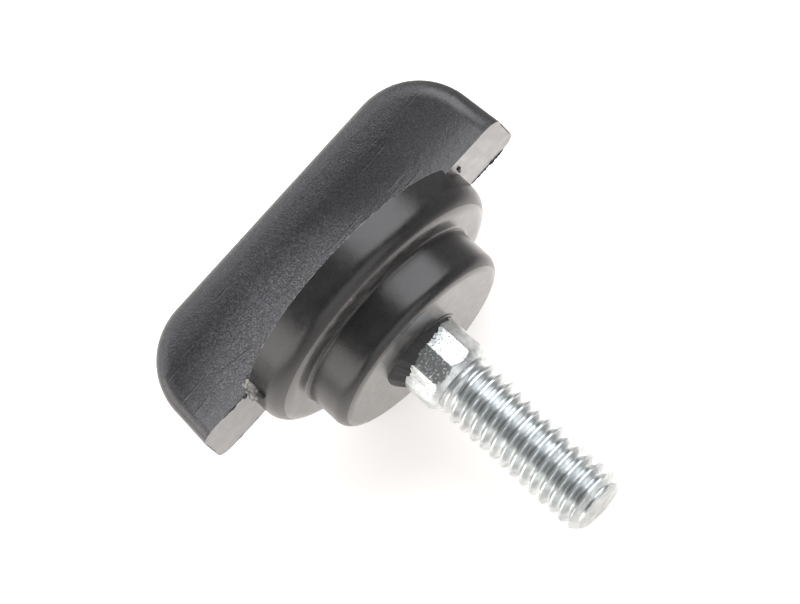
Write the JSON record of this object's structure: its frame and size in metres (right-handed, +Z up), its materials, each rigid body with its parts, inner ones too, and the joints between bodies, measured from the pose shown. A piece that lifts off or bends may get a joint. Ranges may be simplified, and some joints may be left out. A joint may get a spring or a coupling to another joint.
{
  "type": "thumb screw",
  "caption": "Thumb screw with a flat black moulded grip bar on a round stepped base and a bright plated steel stud, turned by finger and thumb to clamp or fasten.",
  "frame": {"origin": "on the rest plane, under the middle of the lying screw's bounding box", "axes": "+Z up from the rest plane, +X along the length of the grip, the stud points towards -Y and down to the rest plane"},
  "size_m": [0.026, 0.0258, 0.0174],
  "materials": {
    "moulded_head": "black polyamide, fine spark grain on the grip, polished on flange and boss",
    "steel_stud": "bright zinc plating on rolled steel"
  },
  "bodies": {
    "root": {"moulded_head": "moulded_head", "steel_stud": "steel_stud"}
  },
  "joints": []
}
